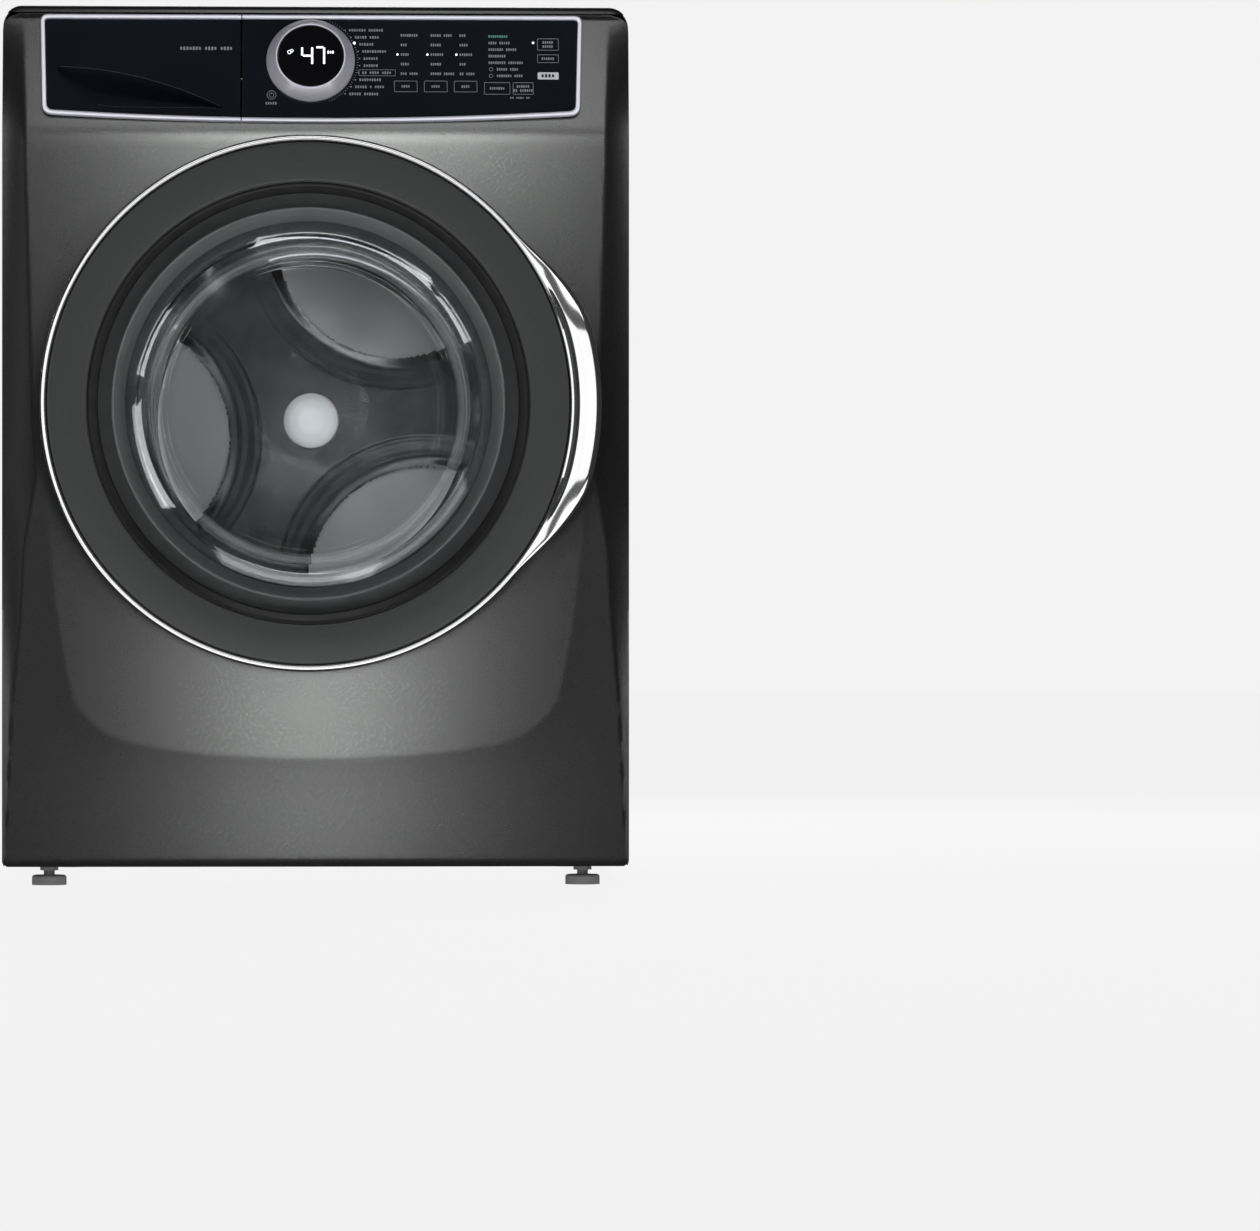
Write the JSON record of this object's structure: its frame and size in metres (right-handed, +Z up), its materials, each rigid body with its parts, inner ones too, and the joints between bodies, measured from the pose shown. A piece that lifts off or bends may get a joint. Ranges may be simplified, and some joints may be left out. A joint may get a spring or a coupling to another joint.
{
  "type": "front load washing machine",
  "caption": "Free-standing front-loading washer: round glazed door, leaning console with dial and press keys, pull-out detergent drawer, belt-driven drum in a sprung tub",
  "frame": {"origin": "on the floor under the middle of the machine's overall box", "axes": "+Z up, the door faces -Y, +X to the right of someone facing the door"},
  "size_m": [0.686, 0.812, 0.965],
  "materials": {
    "painted_dark": "dark titanium metallic paint, satin",
    "galvanised": "galvanised sheet steel",
    "chrome": "polished chrome plating",
    "lavender_chrome": "satin chrome with a cool tint",
    "navy_gloss": "navy-black gloss plastic",
    "black_gloss": "black gloss plastic",
    "dark_satin": "dark grey satin-gloss plastic",
    "black_plastic": "black plastic",
    "grey_plastic": "grey plastic",
    "white_plastic": "white plastic",
    "tub_plastic": "light grey glass-filled plastic",
    "grey_rubber": "grey rubber",
    "black_rubber": "black rubber",
    "glass": "moulded clear glass",
    "stainless": "polished stainless steel",
    "zinc": "zinc-plated steel",
    "cast": "painted cast iron",
    "alloy": "die-cast aluminium"
  },
  "bodies": {
    "cabinet": {"base_pan": "galvanised", "levelling_legs": "grey_plastic", "left_side_panel": "painted_dark", "right_side_panel": "painted_dark", "rear_panel": "galvanised", "rear_access_cover": "galvanised", "cabinet_screws": "zinc", "top_panel": "painted_dark", "front_panel": "painted_dark", "upper_cross_rail": "galvanised", "console_trim": "lavender_chrome", "console_fascia": "navy_gloss", "display_window": "black_gloss", "dispenser_housing": "white_plastic", "inlet_valves": "grey_plastic", "inlet_hoses": "black_rubber", "hinge_bracket": "zinc", "door_lock": "grey_plastic", "door_gasket": "grey_rubber", "damper_cylinders": "grey_plastic", "tub_springs": "zinc", "drain_pump": "grey_plastic", "sump_hose": "black_rubber", "drain_outlet": "black_rubber", "cord_inlet": "black_plastic"},
    "door": {"door_trim_ring": "chrome", "door_outer_ring": "dark_satin", "door_bezel": "black_plastic", "glass_bowl": "glass", "door_inner_frame": "grey_plastic", "hinge_arm": "alloy", "door_strike": "zinc"},
    "detergent_drawer": {"drawer_trim": "lavender_chrome", "drawer_front": "navy_gloss", "drawer_tray": "white_plastic", "siphon_cover": "white_plastic"},
    "tub": {"tub_front": "tub_plastic", "tub_rear": "tub_plastic", "counterweights": "cast", "shaft_bearings": "zinc", "drive_motor": "alloy", "drive_belt": "black_rubber", "damper_rods": "zinc"},
    "drum": {"drum_shell": "stainless", "drum_rear": "stainless", "drum_lifters": "stainless", "drum_spider": "alloy", "drum_pulley": "alloy", "hub_cap": "white_plastic"},
    "motor_rotor": {"motor_pulley": "zinc"},
    "dial": {"dial_ring": "lavender_chrome"},
    "power_key": {"power_button": "navy_gloss"},
    "temperature_key": {"temperature_button": "navy_gloss"},
    "soil_key": {"soil_button": "navy_gloss"},
    "spin_key": {"spin_button": "navy_gloss"},
    "options_key": {"options_button": "navy_gloss"},
    "select_key": {"select_button": "navy_gloss"},
    "start_pause_key": {"start_pause_button": "navy_gloss"},
    "cancel_key": {"cancel_button": "navy_gloss"},
    "quick_dose_key": {"quick_dose_button": "navy_gloss"}
  },
  "joints": [
    {"name": "door_hinge", "type": "hinge", "parent": "cabinet", "child": "door", "pos_m": [-0.293, -0.366, 0.527], "axis": [0, 0, -1], "range_deg": [0, 110]},
    {"name": "drawer_slide", "type": "slide", "parent": "cabinet", "child": "detergent_drawer", "axis": [0, -1, 0], "range_m": [0, 0.2]},
    {"name": "tub_bounce", "type": "slide", "parent": "cabinet", "child": "tub", "axis": [0, 0, 1], "range_m": [-0.01, 0.01], "stiffness_N_per_m": 24000, "springref_m": 0.02771, "deforming": ["tub_springs", "door_gasket", "sump_hose"]},
    {"name": "drum_spin", "type": "hinge", "parent": "tub", "child": "drum", "pos_m": [-0.008, 0, 0.527], "axis": [0, -1, 0], "continuous": true},
    {"name": "motor_spin", "type": "hinge", "parent": "tub", "child": "motor_rotor", "pos_m": [0.11, 0.3, 0.16], "axis": [0, -1, 0], "continuous": true},
    {"name": "dial_turn", "type": "hinge", "parent": "cabinet", "child": "dial", "pos_m": [-0.006, -0.32633, 0.903], "axis": [0, -0.9511, 0.309], "continuous": true},
    {"name": "power_press", "type": "slide", "parent": "cabinet", "child": "power_key", "axis": [0, 0.9511, -0.309], "range_m": [0, 0.0008], "stiffness_N_per_m": 400},
    {"name": "temperature_press", "type": "slide", "parent": "cabinet", "child": "temperature_key", "axis": [0, 0.9511, -0.309], "range_m": [0, 0.0008], "stiffness_N_per_m": 400},
    {"name": "soil_press", "type": "slide", "parent": "cabinet", "child": "soil_key", "axis": [0, 0.9511, -0.309], "range_m": [0, 0.0008], "stiffness_N_per_m": 400},
    {"name": "spin_press", "type": "slide", "parent": "cabinet", "child": "spin_key", "axis": [0, 0.9511, -0.309], "range_m": [0, 0.0008], "stiffness_N_per_m": 400},
    {"name": "options_press", "type": "slide", "parent": "cabinet", "child": "options_key", "axis": [0, 0.9511, -0.309], "range_m": [0, 0.0008], "stiffness_N_per_m": 400},
    {"name": "select_press", "type": "slide", "parent": "cabinet", "child": "select_key", "axis": [0, 0.9511, -0.309], "range_m": [0, 0.0008], "stiffness_N_per_m": 400},
    {"name": "start_pause_press", "type": "slide", "parent": "cabinet", "child": "start_pause_key", "axis": [0, 0.9511, -0.309], "range_m": [0, 0.0008], "stiffness_N_per_m": 400},
    {"name": "cancel_press", "type": "slide", "parent": "cabinet", "child": "cancel_key", "axis": [0, 0.9511, -0.309], "range_m": [0, 0.0008], "stiffness_N_per_m": 400},
    {"name": "quick_dose_press", "type": "slide", "parent": "cabinet", "child": "quick_dose_key", "axis": [0, 0.9511, -0.309], "range_m": [0, 0.0008], "stiffness_N_per_m": 400}
  ],
  "couplings": [
    {"joint": "motor_spin", "follows": "drum_spin", "ratio": 12.5}
  ]
}
